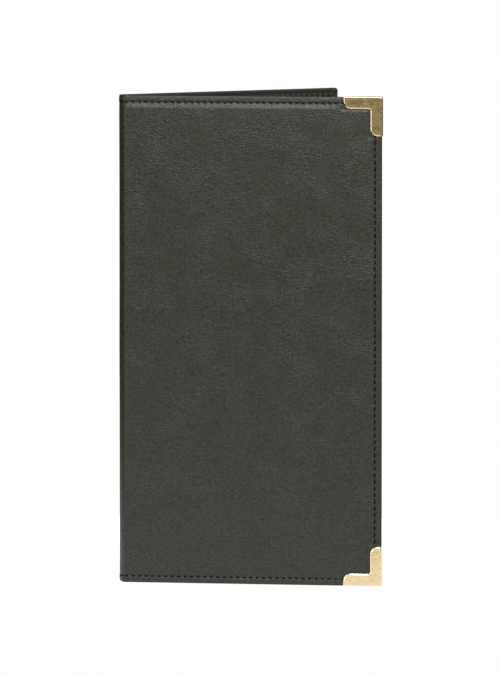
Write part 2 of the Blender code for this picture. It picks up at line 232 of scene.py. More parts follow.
# Curves that carry a sheet round the crease

def smooth(start, end, value):
    """An even step: 0 before start, 1 after end, and t squared times (3 - 2t) between them."""
    share = np.clip((value - start) / (end - start), 0.0, 1.0)
    return share * share * (3.0 - 2.0 * share)


def bell(value, width):
    """A bump of height 1 at 0: e to the minus (value / width) squared."""
    return np.exp(-((value / width) ** 2))


class Strand:
    """A curve in (u, depth) that a sheet follows. Its length parameter p is u on the cover.

    A point lies at the curve's point for p plus its depth times the curve's inward normal. Past
    both ends the curve runs on straight.
    """

    def __init__(self, points, first_p, start, end):
        steps = np.linalg.norm(np.diff(points, axis=0), axis=1)
        self.p = first_p - np.concatenate([[0.0], np.cumsum(steps)])
        tangent = np.gradient(points, self.p, axis=0)
        tangent /= np.linalg.norm(tangent, axis=1)[:, None]
        self.curve, self.tangent = points, tangent
        self.start, self.end = start, end

    def at(self, p, depth):
        """(u, depth) in the cover's directions for a point p along the sheet and depth below it."""
        inside = np.clip(p, self.p[-1], self.p[0])
        rows = np.concatenate([self.curve, self.tangent], axis=1)[::-1].T
        u, d, tu, td = (np.interp(inside, self.p[::-1], row) for row in rows)
        size = np.hypot(tu, td)
        tu, td = tu / size, td / size
        beyond = p - inside
        return u + beyond * tu - depth * td, d + beyond * td + depth * tu

    def blend(self, piece, cover):
        """Bakes a piece's placement into its mesh. The fold's two end points are worked out on the
        cover but not used.
        """
        cover.point(*self.start)
        cover.point(*self.end)
        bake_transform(piece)

    def place(self, outer=0.0):
        """Takes (u, z, height) to the cover's directions, with heights from this far outside."""
        return lambda u, z, high: (*self.at(u, -outer - high), z)


def spine_point(distance, depth):
    """A point on the spine's line at this distance from the crease and this depth inside it."""
    sine, cosine = math.sin(FOLD), math.cos(FOLD)
    return -distance * cosine + depth * sine, distance * sine + depth * cosine


def fold_arc(reach, inside, turn):
    """Points of the fold's arc at these angles, this far inside the leatherette's.

    With reach b from the crease on both sides the arc's radius is b / tan(fold / 2), and its
    centre lies that far inside the cover, at u = b.
    """
    centre = reach / math.tan(FOLD / 2)
    radius = centre - inside
    return np.stack([reach - radius * np.sin(turn), centre - radius * np.cos(turn)], axis=1)


def skin_strand(cover):
    """The leatherette's curve: straight, an arc that touches the cover and the spine, straight.

    The arc is as long as its two reaches together in p, so p is squeezed along it.
    """
    reach = sizes().crease_reach if cover.mirrored else sizes().front_reach
    arc = fold_arc(reach, 0.0, np.linspace(0.0, FOLD, 49))
    points = np.concatenate([[(reach + MM, 0.0)], arc, [spine_point(PAST_MIDDLE, 0.0)]])
    strand = Strand(points, reach + MM, (reach, 0.0), spine_point(reach, 0.0))
    travel = reach / math.tan(FOLD / 2) * FOLD
    squeeze = 2 * reach / travel
    on_arc = (strand.p < reach) & (strand.p > reach - travel - 1e-9)
    strand.p = np.where(on_arc, reach - (reach - strand.p) * squeeze, strand.p)
    strand.p[-1] = -PAST_MIDDLE
    return strand


def round_curve(points, rounds=4):
    """A polyline with its corners cut at a quarter and three quarters of each side, repeatedly."""
    for _ in range(rounds):
        near = points[:-1] * 0.75 + points[1:] * 0.25
        far = points[:-1] * 0.25 + points[1:] * 0.75
        cut = np.stack([near, far], axis=1).reshape(-1, 2)
        points = np.concatenate([points[:1], cut, points[-1:]])
    return points


def lining_strand():
    """The lining's face: over the board's edge, down into the fold and up along the spine."""
    reach, first = sizes().crease_reach, 5.4 * MM
    drops = ((5.4, 0), (4.2, 0), (3.3, 0), (2.75, 0.04), (2.3, 0.45), (1.85, 0.95), (1.5, 1.05))
    over = [(u * MM, LINING_FACE - drop * MM) for u, drop in drops]
    valley = fold_arc(reach, LINING_DEPTH, np.radians(np.array([36.0, 44.0, 52.0, 60.0])))
    ends = [spine_point(far, LINING_DEPTH) for far in (reach * 1.05, reach * 1.3, PAST_MIDDLE)]
    points = round_curve(np.array([*over, *valley, *ends]))
    strand = Strand(points, first, (2.7 * MM, 2.6 * MM), spine_point(reach * 0.98, 1.2 * MM))
    gap = strand.curve - np.array(spine_point(SPINE_WIDTH / 2, LINING_DEPTH))
    nearest = np.argmin(np.hypot(*gap.T))
    past = math.copysign(np.hypot(*gap[nearest]), gap[nearest, 1])
    strand.middle = float(strand.p[nearest] + past)
    return strand


# Sheets turned round three sides of a rectangle

def round_corners(x, y, reach, half, radius):
    """Draws the last radius of both free corners into quarter circles, and finds the ways out.

    A point (s, t) of the unit square goes to (s root(1 - t^2 / 2), t root(1 - s^2 / 2)).
    """
    s, t = 1.0 - (reach - x) / radius, 1.0 - (half - np.abs(y)) / radius
    corner = (s > 0) & (t > 0)
    s_in, t_in = np.where(corner, s, 0.0), np.where(corner, t, 0.0)
    round_s, round_t = s_in * np.sqrt(1.0 - t_in**2 / 2), t_in * np.sqrt(1.0 - s_in**2 / 2)
    far_x = reach - radius + radius * round_s
    far_y = np.sign(y) * (half - radius + radius * round_t)
    out_x = np.where(corner, round_s, np.where(s >= t, 1.0, 0.0))
    out_y = np.where(corner, round_t, np.where(s >= t, 0.0, 1.0)) * np.sign(y)
    size = np.maximum(np.hypot(out_x, out_y), 1e-9)
    outward = np.stack([out_x / size, out_y / size], axis=-1)
    return np.where(corner, far_x, x), np.where(corner, far_y, y), outward


def quads(ids):
    """Four-cornered faces of a grid of point numbers."""
    corners = ids[:-1, :-1], ids[1:, :-1], ids[1:, 1:], ids[:-1, 1:]
    return np.stack(corners, axis=-1).reshape(-1, 4)


def sheet_faces(ids, border, along, across, fine):
    """Faces of the fine strips on three sides and of the coarse middle.

    The middle's outer cells take in every point of the strips beside them.
    """
    faces = [
        quads(ids[:, : border + 1]),
        quads(ids[:, border + across :]),
        quads(ids[along:, border : border + across + 1]),
    ]
    columns = np.concatenate([np.arange(fine), np.arange(fine, along + 1, 4)])
    rows = border + np.arange(0, across + 1, 4)
    faces.append(quads(ids[np.ix_(columns[:-1], rows[1:-1])]))
    left, right = columns[fine:-2], columns[fine + 1 : -1]
    for row, other, turn in ((rows[0], rows[1], 1), (rows[-1], rows[-2], -1)):
        if fine:
            span = columns[: fine + 1]
            faces.append(quads(np.stack([ids[span, row], ids[span, other]], axis=1)[:, ::turn]))
        outer = [ids[left + step, row] for step in range(5)]
        faces.append(np.stack([*outer, ids[right, other], ids[left, other]], axis=1)[:, ::turn])
    low, high, (a, b) = rows[1:-2], rows[2:-1], columns[-2:]
    side = [ids[b, low + step] for step in range(5)]
    faces.append(np.stack([*side, ids[a, high], ids[a, low]], axis=1))
    under = [ids[a + step, rows[0]] for step in range(4)]
    up = [ids[b, rows[0] + step] for step in range(5)]
    faces.append(np.array([[*under, *up, ids[a, rows[1]]]]))
    up = [ids[b, rows[-2] + step] for step in range(4)]
    over = [ids[b - step, rows[-1]] for step in range(5)]
    faces.append(np.array([[*up, *over, ids[a, rows[-2]]]]))
    return faces


def wrapped(start, reach, half, step, insets, radius, fine=0, profile=(), tuck=()):
    """A sheet laid on a rectangle and turned round three of its sides.

    x runs from start to reach and y from -half to half. The face is a grid of fine lines near the
    three sides and of every fourth line in the middle, joined by faces of more than four corners.
    From the face's edge line the sheet follows a profile of (outward, down) steps, and then runs
    back under the face by the insets in tuck. Insets and tuck are in mm.
    """
    insets, tuck = np.array(insets) * MM, np.array(tuck) * MM
    first, edge, border = insets[0], insets[-1], len(insets) - 1
    along = 4 * round((reach - first - start - fine * step) / step / 4) + fine
    across = 4 * round(2 * (half - first) / step / 4)
    middle_x = np.linspace(start, reach - first, along + 1)
    middle_y = np.linspace(first - half, half - first, across + 1)
    lines_x = np.concatenate([middle_x, reach - insets[1:]])
    lines_y = np.concatenate([insets[:0:-1] - half, middle_y, half - insets[1:]])
    grid_x, grid_y = np.meshgrid(lines_x, lines_y, indexing="ij")
    x, y, outward = round_corners(grid_x, grid_y, reach - edge, half - edge, radius)
    ids = np.arange(x.size).reshape(x.shape)
    faces = sheet_faces(ids, border, along, across, fine)

    last_x, last_y = len(lines_x) - 1, len(lines_y) - 1
    there, up, back = np.arange(last_x + 1), np.arange(1, last_y + 1), np.arange(last_x)[::-1]
    i = np.concatenate([there, np.full(last_y, last_x), back])
    j = np.concatenate([np.zeros(last_x + 1, int), up, np.full(last_x, last_y)])
    base, out = np.stack([x[i, j], y[i, j]], axis=1), outward[i, j]
    rims = [ids[i, j]]
    parts = [(x.ravel(), y.ravel(), np.zeros(x.size), x.ravel(), y.ravel())]

    def add_rim(rim_x, rim_y, down, run):
        """One more row of points, this far down, at this way along the cut sheet."""
        rims.append(x.size + (len(rims) - 1) * len(i) + np.arange(len(i)))
        parts.append((rim_x, rim_y, np.full(len(i), down), *(base + out * run).T))

    travelled, before = 0.0, (0.0, 0.0)
    for outside, under in profile:
        travelled += math.hypot(outside - before[0], under - before[1])
        before = (outside, under)
        add_rim(*(base + out * outside).T, under, travelled)
    for inset in tuck:
        pull = (first - inset) / (first - edge)
        a, b = reach - grid_x[i, j], half - np.abs(grid_y[i, j])
        a = np.where(a < first, inset + (a - edge) * pull, a)
        b = np.where(b < first, inset + (b - edge) * pull, b)
        rim_y = np.sign(grid_y[i, j]) * (half - b)
        add_rim(reach - a, rim_y, before[1], travelled + inset - edge)
    for near, far in zip(rims, rims[1:]):
        faces.append(np.stack([far[:-1], far[1:], near[1:], near[:-1]], axis=1))
    all_x, all_y, down, map_x, map_y = (np.concatenate(column) for column in zip(*parts))
    on_face = np.arange(len(down)) < x.size
    cut = np.stack([map_x, map_y], axis=1)
    return SimpleNamespace(x=all_x, y=all_y, down=down, cut=cut, on_face=on_face, faces=faces)


def turned_profile(rounding, drop):
    """Round the edge: a quarter circle out, straight down, and a quarter circle back in."""
    first, second = np.radians(np.linspace(0, 90, 5)[1:]), np.radians(np.linspace(0, 90, 5))
    low = drop - rounding
    return [
        *((rounding * math.sin(a), rounding * (1 - math.cos(a))) for a in first),
        *((rounding * math.cos(a), low + rounding * math.sin(a)) for a in second),
    ]


def add_object(name, data):
    """A new object of the scene, with this data."""
    made = bpy.data.objects.new(name, data)
    bpy.context.scene.collection.objects.link(made)
    return made


def make_piece(name, points, faces, uv, finish, wall=None, flip=False):
    """A smooth mesh from points, arrays of faces and one texture point for each point.

    A sheet gets its wall away from its face.
    """
    used = np.unique(np.concatenate([group.ravel() for group in faces]))
    renumber = np.full(len(points), -1)
    renumber[used] = np.arange(len(used))
    groups = [renumber[group][:, ::-1] if flip else renumber[group] for group in faces]
    corners = np.concatenate([group.ravel() for group in groups])
    sides = np.concatenate([np.full(len(group), group.shape[1]) for group in groups])
    starts = np.concatenate([[0], np.cumsum(sides)[:-1]])
    mesh = bpy.data.meshes.new(name)
    for items, count, key, values in (
        (mesh.vertices, len(used), "co", points[used].astype(np.float32)),
        (mesh.loops, len(corners), "vertex_index", corners.astype(np.int32)),
        (mesh.polygons, len(sides), "loop_start", starts.astype(np.int32)),
    ):
        items.add(count)
        items.foreach_set(key, values.ravel())
    mesh.polygons.foreach_set("use_smooth", np.ones(len(sides), bool))
    layer = mesh.uv_layers.new(name="cut")
    layer.data.foreach_set("uv", uv[used][corners].astype(np.float32).ravel())
    mesh.update()
    if mesh.validate():
        raise RuntimeError(name + " has faulty faces")
    mesh.materials.append(finish)
    piece = add_object(name, mesh)
    if wall:
        solid = piece.modifiers.new("wall", "SOLIDIFY")
        solid.thickness, solid.offset = wall, -1.0
        solid.use_rim, solid.use_even_offset = True, False
    return piece


# The leatherette

def to_stitch(along, start):
    """How far each place along a seam lies from the nearest gap between two stitches."""
    phase = (along - start) / sizes().pitch - 0.5
    return (phase - np.round(phase)) * sizes().pitch


def seam_relief(across, along_gap, depth=1.0, ridge=0.07):
    """A groove under each stitch and, between two stitches, a low ridge across the seam."""
    between = bell(along_gap, 0.5 * MM)
    groove = -0.24 * bell(across, 0.40 * MM) * (1.0 - between)
    drawn = -0.05 * bell(across, 1.1 * MM) * (1.0 - between)
    return (groove + drawn + ridge * between * bell(across, 0.8 * MM)) * MM * depth


def border_seam(u, z, *strength):
    """The relief of the seam round a cover's three outer sides."""
    free, end = REACH - u, HALF - np.abs(z)
    side = seam_relief(free - STITCH_INSET, to_stitch(z, 0.0), *strength)
    ends = seam_relief(end - STITCH_INSET, to_stitch(u, MID_SPINE), *strength)
    return np.where((free < end) & (u > 0), side, ends)


def swell(u, z):
    """The slow unevenness of a padded sheet: a few long waves."""
    total = 0.0
    for size, along, up, shift in (
        (0.030, 41.0, 27.0, 0.4),
        (0.028, -33.0, 51.0, 1.7),
        (0.022, 88.0, 39.0, 2.9),
        (0.018, -71.0, -97.0, 0.8),
    ):
        total = total + size * MM * np.sin(u * along + z * up + shift)
    return total


def skin_relief(u, z, capped):
    """How far the leatherette stands above its border at each point of a cover.

    The field rises over its sloped rim and over a short slope beside the crease. Round a cap it
    rises in a short step and then slowly. The seam sinks in, and the border falls off a little
    from the seam to the edge.
    """
    size = sizes()
    free, end = REACH - u, HALF - np.abs(z)
    inset = np.minimum(free, end)
    rise, slope = inset - size.pad_inset, size.pad_slope
    field = 0.84 * smooth(0.0, slope, rise) + 0.16 * smooth(0.0, 2.6 * slope, rise)
    field *= smooth(-0.9 * MM, 1.7 * MM, u)
    seam_side = 2.6 * MM
    crown = 0.20 * MM * smooth(0.4 * MM, seam_side, inset) * smooth(3.3 * MM, seam_side, inset)
    if capped:
        leg, arm, step = CAP_LEG - CAP_PROUD + 0.3 * MM, 6.3 * MM, 1.5 * MM
        tall = np.hypot(np.maximum(free - arm, 0), np.maximum(end - leg, 0))
        wide = np.hypot(np.maximum(free - leg, 0), np.maximum(end - arm, 0))
        beside = np.minimum(tall, wide)
        field *= 0.5 * smooth(0.0, step, beside) + 0.5 * smooth(0.0, 13 * MM, beside)
        rise = np.minimum(rise, beside)
        crown *= smooth(0.0, step, beside)
    dome = 0.12 * MM * smooth(0.0, 22 * MM, rise) * smooth(0.0, 20 * MM, u)
    waves = swell(u, z) * smooth(0.0, 6 * MM, rise)
    return field * size.pad_rise + dome + waves + crown + border_seam(u, z)


def pinched(u, z):
    """u and z of the leatherette drawn in under the caps, most at its edge, none 3 mm from it."""
    free, end, draw = REACH - u, HALF - np.abs(z), 0.55 * MM

    def share(across, along):
        """How much of the draw acts this far from one edge and this far along it."""
        return smooth(3.0 * MM, 1.0 * MM, across) * smooth(LEG, LEG - 1.8 * MM, along)

    return u - draw * share(free, end), z - np.sign(z) * draw * share(end, free)


def skin_down(u):
    """The share of the turned edge's full depth: all of it on the board, less over the spine."""
    thin = 2 * sizes().skin / (HEM_DEPTH + sizes().skin / 2)
    return thin + (1 - thin) * smooth(1.2 * MM, 3.6 * MM, u)


def make_leather(cover):
    """One cover's leatherette with its half of the spine, in one sheet."""
    size = sizes()
    outer = size.skin / 2
    profile, tuck = turned_profile(size.edge_round, HEM_DEPTH + outer), (1.5, 2.6, 5.0, 8.0)
    step, radius = size.pitch / 6, 0.8 * MM
    wrap = wrapped(MID_SPINE, REACH, HALF, step, BORDER_LINES, radius, FINE_SKIN, profile, tuck)
    u, z = wrap.x, wrap.y
    relief = np.where(wrap.on_face, skin_relief(u, z, cover.capped), 0.0)
    depth = -outer + wrap.down * skin_down(u) - relief
    strand = skin_strand(cover)
    if cover.capped:
        u, z = pinched(u, z)
    name, points = cover.name + "_leather", cover.world(*strand.at(u, depth), z)
    finish = leatherette(cover.name + "_leatherette", -1.0 if cover.mirrored else 1.0)
    wall = size.skin - 0.02 * MM
    piece = make_piece(name, points, wrap.faces, wrap.cut, finish, wall, flip=cover.mirrored)
    strand.blend(piece, cover)
    return piece


# The linings

def make_lining(cover):
    """A cover's lining with its half of the spine's, in one sheet.

    It is pressed down at its edge and drawn in by the bobbin thread.
    """
    size, strand = sizes(), lining_strand()
    step, radius = size.pitch / 6, 0.4 * MM
    wrap = wrapped(strand.middle, REACH, HALF, step, LINING_LINES, radius, FINE_LINING)
    u, z = wrap.x, wrap.y
    from_edge = np.minimum(REACH - u, HALF - np.abs(z))
    pressed = -0.10 * MM * (1 - smooth(LINING_INSET, LINING_INSET + 0.5 * MM, from_edge))
    points = cover.world(*strand.at(u, -(border_seam(u, z, 0.9, 0.14) + pressed)), z)
    name, wall = cover.name + "_lining_sheet", size.lining
    # The lining gets painted highlights on its seam's ridges.
    finish = cloth(
        "lining_finish",
        colours().lining,
        grain=1.9,
        depth=0.04 * MM,
        rough=0.58,
        gloss=0.16,
        painted_lighting=True,
    )
    piece = make_piece(name, points, wrap.faces, wrap.cut, finish, wall, flip=not cover.mirrored)
    strand.blend(piece, cover)
    return piece


# The pockets

def pocket_place(cover, node):
    """A pocket's middle in u, its mouth in z, half its width, its height and its face's depth."""
    low, high = cover.limits(node)
    place = (low[0] + high[0]) / 2, high[2], (high[0] - low[0]) / 2, high[2] - low[2], high[1]
    return tuple(float(value) for value in place)


def make_pocket(cover, node, gape):
    """A patch pocket: one sheet whose side and lower edges are turned under and sewn down.

    Inside the sewn border the sheet sinks by half its own thickness, and its mouth bows out
    from the cover by gape times a sine across it, dying away below the mouth.
    """
    size = sizes()
    middle, mouth, half, tall, face = pocket_place(cover, node)
    profile, tuck = turned_profile(0.35 * MM, size.pocket * 2 + 0.2 * MM), (0.8, 2.0, 3.5)
    step, radius = size.pitch / 4, 2.6 * MM
    wrap = wrapped(0.0, tall, half, step, POCKET_LINES, radius, 0, profile, tuck)
    x, y = wrap.x, wrap.y
    free, end = tall - x, half - np.abs(y)
    inset = np.minimum(free, end)
    sunk = 0.22 * MM * smooth(3.3 * MM, 4.4 * MM, inset)
    across = np.sin(np.pi * np.clip((y + half) / (2 * half), 0, 1)) ** 1.4
    bow = gape * across * np.exp(-x / (15 * MM))
    along = np.where(free < end, to_stitch(y, 0.0), to_stitch(x, POCKET_START))
    seam = seam_relief(inset - POCKET_SEAM, along, 0.5)
    slack = 0.06 * MM * np.sin(x * 95 + 1.0) * np.sin(y * 70) * smooth(4 * MM, 14 * MM, inset)
    lift = np.where(wrap.on_face, bow + seam + slack - sunk, 0.0)
    points = cover.world(middle - y, face + lift - wrap.down, mouth - x)
    name, wall = node + "_sheet", size.pocket
    finish = cloth(
        "pocket_finish", colours().pocket, grain=1.5, depth=0.05 * MM, rough=0.52, gloss=0.35
    )
    piece = make_piece(name, points, wrap.faces, wrap.cut, finish, wall, flip=cover.mirrored)
    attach(piece, cover.body)
    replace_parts(piece, node, node + "_bottom_welt", node + "_crease_welt", node + "_free_welt")
    return piece


# The stitches

STITCH_SIDES = 6
LEAN_SPREAD, LENGTH_SPREAD = 0.045 * MM, 0.03
STITCH_ALONG = np.array([-1.1, -0.97, -0.72, -0.3, 0.3, 0.72, 0.97, 1.1])
STITCH_HIGH = np.array([-0.95, -0.25, 0.28, 0.42, 0.42, 0.28, -0.25, -0.95])
STITCH_GIRTH = np.array([0.7, 0.92, 1.0, 1.06, 1.06, 1.0, 0.92, 0.7])


def stitch_shapes(count, thread, shown):
    """Tubes that come up out of one needle hole and dive into the next.

    Each is a ring carried along a line that rises steeply, runs level and dives again, with the
    ring drawn a little thinner at both ends.
    """
    along, high, girth = STITCH_ALONG * (shown / 2), thread * STITCH_HIGH, thread / 2 * STITCH_GIRTH
    angle = np.linspace(0, 2 * np.pi, STITCH_SIDES, endpoint=False)
    tilt = np.arctan(np.gradient(high, along))[:, None]
    ring_side, ring_up = girth[:, None] * np.cos(angle), girth[:, None] * np.sin(angle)
    ring_along = along[:, None] - ring_up * np.sin(tilt)
    ring_high = high[:, None] + ring_up * np.cos(tilt)
    shape = np.stack([ring_along, ring_side, ring_high], axis=-1)
    return np.broadcast_to(shape, (count, *shape.shape)).copy()


def tube_faces(count, rings, sides):
    """Faces of that many closed tubes, each with flat ends."""
    ids = np.arange(count * rings * sides).reshape(count, rings, sides)
    turned = np.roll(ids, -1, axis=2)
    walls = np.stack([ids[:, :-1], ids[:, 1:], turned[:, 1:], turned[:, :-1]], axis=-1)
    return [walls.reshape(-1, 4), ids[:, 0, :], ids[:, -1, ::-1]]


def sew(name, cover, seams, place, thread, above, seed):
    """One piece of thread for several seams.

    A seam is the middles of its stitches along its line, that line's other coordinate, whether
    it runs up, how long its stitches show and how far they lean. place takes (u, z, height above
    the sheet) to the cover's directions. Each stitch gets a slightly different lean and length.
    """
    random = np.random.default_rng(seed)
    clouds, maps = [], []
    for line, fixed, vertical, shown, lean in seams:
        count = len(line)
        shape = stitch_shapes(count, thread, shown)
        leans = lean + random.normal(0.0, LEAN_SPREAD, count)
        grow = 1.0 + random.normal(0.0, LENGTH_SPREAD, count)
        shape[..., 0] *= grow[:, None, None]
        share = np.clip(shape[..., 0] / (shown / 2), -1, 1)
        shape[..., 1] += leans[:, None, None] * share
        along, across = np.asarray(line, float)[:, None, None] + shape[..., 0], shape[..., 1]
        flat = (fixed - across, along) if vertical else (along, fixed + across)
        clouds.append(np.stack([*flat, shape[..., 2]], axis=-1).reshape(-1, 3))
        turn = np.broadcast_to(np.arange(STITCH_SIDES) / STITCH_SIDES, shape.shape[:-1])
        maps.append(np.stack([shape[..., 0], turn * 3 * thread], axis=-1).reshape(-1, 2))
    cloud, uv = np.concatenate(clouds), np.concatenate(maps)
    points = cover.world(*place(cloud[:, 0], cloud[:, 1], cloud[:, 2] + above))
    rings = len(STITCH_ALONG)
    faces = tube_faces(len(cloud) // (rings * STITCH_SIDES), rings, STITCH_SIDES)
    piece = make_piece(name, points, faces, uv, sewing_thread("thread_finish"))
    face_outwards(piece.data)
    return piece


def face_outwards(mesh):
    """Turns the faces of closed tubes outwards, all at once, by the sign of their volume."""
    mesh.calc_loop_triangles()
    corners = read(mesh.loop_triangles, "vertices", 3, np.int32)
    a, b, c = read(mesh.vertices, "co", 3).astype(float)[corners].transpose(1, 0, 2)
    if np.einsum("ij,ij->i", a, np.cross(b, c)).sum() < 0:
        mesh.flip_normals()


def stitch_row(start, first, last):
    """Middles of the stitches between two limits, at whole pitches from start."""
    pitch = sizes().pitch
    low, high = math.ceil((first - start) / pitch), math.floor((last - start) / pitch)
    return start + pitch * np.arange(low, high + 1)


def cover_seams(capped, turn):
    """The stitches round a cover's three outer sides and over its half of the spine.

    turn is 1 or -1 for the way the stitches lean, or 0 for straight ones.
    """
    size, level = sizes(), HALF - STITCH_INSET
    corner = STITCH_INSET + 0.6 * MM
    last_u = CAP_END - 0.6 * size.short_stitch if capped else REACH - corner
    last_z = HALF - (CAP_LEG - CAP_PROUD) - 0.5 * size.long_stitch if capped else HALF - corner
    rows = stitch_row(MID_SPINE, MID_SPINE + size.pitch / 2, last_u)
    side = stitch_row(0.0, -last_z, last_z)
    return [
        (rows, level, False, size.short_stitch, -END_LEAN * turn),
        (rows, -level, False, size.short_stitch, 0.0),
        (side, REACH - STITCH_INSET, True, size.long_stitch, -SIDE_LEAN * turn),
    ]


def spine_seams():
    """The one stitch at each end that lies across the middle of the spine."""
    level = HALF - STITCH_INSET
    return [([MID_SPINE], end, False, sizes().short_stitch, 0.0) for end in (level, -level)]


def two_threads(cover):
    """A seam's two threads: the name and curve of each, then its place, diameter and height."""
    size, skin, lining = sizes(), skin_strand(cover), lining_strand()
    return (
        ("needle", skin, skin.place(size.skin / 2), size.thread, NEEDLE_SUNK),
        ("bobbin", lining, lining.place(), size.bobbin, BOBBIN_SUNK),
    )


def pocket_seams(cover, node):
    """The stitches down both sides and along the bottom of a pocket, and how to place them."""
    middle, mouth, half, tall, face = pocket_place(cover, node)
    corner, shown = 2.2 * MM, sizes().long_stitch
    down = mouth - stitch_row(POCKET_START, 1.0 * MM, tall - POCKET_SEAM - corner)
    across = middle + stitch_row(0.0, -half + POCKET_SEAM + corner, half - POCKET_SEAM - corner)
    seams = [
        (down, middle - half + POCKET_SEAM, True, shown, 0.0),
        (down, middle + half - POCKET_SEAM, True, shown, 0.0),
        (across, mouth - tall + POCKET_SEAM, False, shown, 0.0),
    ]
    return seams, lambda u, z, high: (u, face + high, z)


# The corner caps

# Distances in mm from a cap's outer edges, and then back from its inner edge
FACE_NEAR = (0.90, 1.05, 1.25, 1.5, 1.8)
FACE_FAR = (1.2, 1.0, 0.86, 0.74, 0.65, 0.56, 0.47, 0.38, 0.3, 0.22, 0.15, 0.08, 0.0)
# Distances in mm along a cap's line from the diagonal, and then back from its end
LINE_NEAR = (0.0, 0.12, 0.26, 0.42, 0.6, 0.8, 1.05, 1.35, 1.7, 2.1, 2.6, 3.2)
LINE_FAR = (2.6, 2.0, 1.6, 1.3, 1.1, 0.95, 0.8, 0.66, 0.52, 0.4, 0.28, 0.18, 0.09, 0.0)


def filled_up(near, far):
    """Two sets of distances, with ten more at even steps between them."""
    return np.concatenate([near, np.linspace(near[-1], far[0], 12)[1:-1], far])


def cap_rows():
    """Distances from a cap's outer edges at which its face has a line."""
    return filled_up(FACE_NEAR, ARM / MM - np.array(FACE_FAR)) * MM


def cap_end(across):
    """How far from the cap's outer corner an arm reaches, at this distance from its outer edge.

    It is the whole leg near that edge, and a quarter circle from there to the inner edge.
    """
    into = np.clip(across - (ARM - ARM_ROUND), 0.0, ARM_ROUND)
    return LEG - ARM_ROUND + np.sqrt(np.maximum(ARM_ROUND**2 - into**2, 0.0))


def cap_line(across, corner):
    """A line of a cap, parallel to its outer edges: distances along it from the diagonal.

    A fixed set lies by the corner, a fixed set by the end, and the rest evenly between them.
    """
    rounding = max(corner - across, 0.0)
    far = float(cap_end(across)) - across - rounding + rounding * math.pi / 4
    return filled_up(np.array(LINE_NEAR) * MM, far - np.array(LINE_FAR) * MM), rounding


def cap_point(distance, across, corner, rounding):
    """Places on that line as distances (a, b) from the two outer edges, for one arm.

    They lie on an eighth of a circle round the corner's centre, and then on a straight line.
    """
    arc, centre = rounding * math.pi / 4, max(corner, across)
    angle = np.pi / 4 - np.minimum(distance, arc) / max(rounding, 1e-9)
    on_arc, straight = distance < arc, np.maximum(distance - arc, 0.0)
    a = np.where(on_arc, centre - rounding * np.cos(angle), across)
    return a, np.where(on_arc, centre - rounding * np.sin(angle), centre + straight)


def fill_corner(a, b, across, distance):
    """Pushes a cap's lines out along the diagonal, so that its inner corner is a small round.

    The push is (root 2 - 1) times the round's radius at the corner. It falls off with the square
    of the way left along the line, and evenly towards the outer corner.
    """
    radius, reach = sizes().cap_fillet, 3.2 * MM
    left = np.clip(1.0 - distance / (radius * 1.15), 0.0, 1.0)
    share = np.clip(1.0 - (ARM - across) / reach, 0.0, 1.0)
    push = (math.sqrt(2) - 1) * radius * left**2 * share / math.sqrt(2)
    return a + push, b + push


def cap_edge_distance(a, b):
    """How far a point of the face lies from the cap's inner edges and rounded ends."""
    fillet = sizes().cap_fillet
    centre = ARM + fillet
    in_fillet = np.hypot(centre - a, centre - b) - fillet
    distances = [np.where((a < centre) & (b < centre), in_fillet, ARM - np.minimum(a, b))]
    for along, across in ((a, b), (b, a)):
        past, off = along - (LEG - ARM_ROUND), across - (ARM - ARM_ROUND)
        rounded = ARM_ROUND - np.hypot(np.maximum(past, 0), np.maximum(off, 0))
        straight = np.where(past > 0, LEG - along, 1.0)
        distances.append(np.where((past > 0) & (off > 0), rounded, straight))
    return np.maximum(np.minimum.reduce(distances), 0.0)


def bead_height(distance):
    """The rim beside a cap's inner edges: a rounded cut edge, an even slope and a low swell."""
    size = sizes()
    slope = -size.bead_drop * (1.0 - np.clip(distance / size.bead, 0.0, 1.0))
    edge = -0.10 * MM * (1 - smooth(0.0, 0.14 * MM, distance))
    return slope + edge + 0.04 * MM * bell(distance - size.bead, 0.22 * MM)


def cap_stations():
    """The way across an arm, as distances from the outer edge and depths below the face.

    It runs over the face from the inner edge, round the outer edge, down, and back below.
    """
    rows, rounding, deep = cap_rows(), sizes().cap_round, CAP_ABOVE - CAP_BELOW
    quarter = np.radians(np.linspace(0, 90, 8))[1:]
    face = [(float(value), 0.0) for value in rows[::-1]]
    over = [(rounding * (1 - math.sin(q)), rounding * (1 - math.cos(q))) for q in quarter]
    wall = [(0.0, rounding + (deep - 2 * rounding) * share) for share in (0.25, 0.5, 0.75, 1.0)]
    low = deep - rounding
    under = [(rounding * (1 - math.cos(q)), low + rounding * math.sin(q)) for q in quarter[:-1]]
    return face + over + wall + under + [(float(value), deep) for value in rows]


def cap_grid():
    """The cap's sheet as a grid of distances (a, b) from the outer edges, depth and travel.

    Each row is a line parallel to the outer edges, each column runs across an arm.
    """
    corner = sizes().cap_corner
    rows, gone, before = [], 0.0, cap_stations()[0]
    for across, depth in cap_stations():
        distance, rounding = cap_line(across, corner)
        a, b = fill_corner(*cap_point(distance, across, corner, rounding), across, distance)
        gone += math.hypot(across - before[0], depth - before[1])
        before = (across, depth)
        one_arm, other_arm = np.append(b[:0:-1], a), np.append(a[:0:-1], b)
        flat = np.ones(len(one_arm))
        rows.append((one_arm, other_arm, flat * depth, flat * gone))
    return [np.stack(column) for column in zip(*rows)]


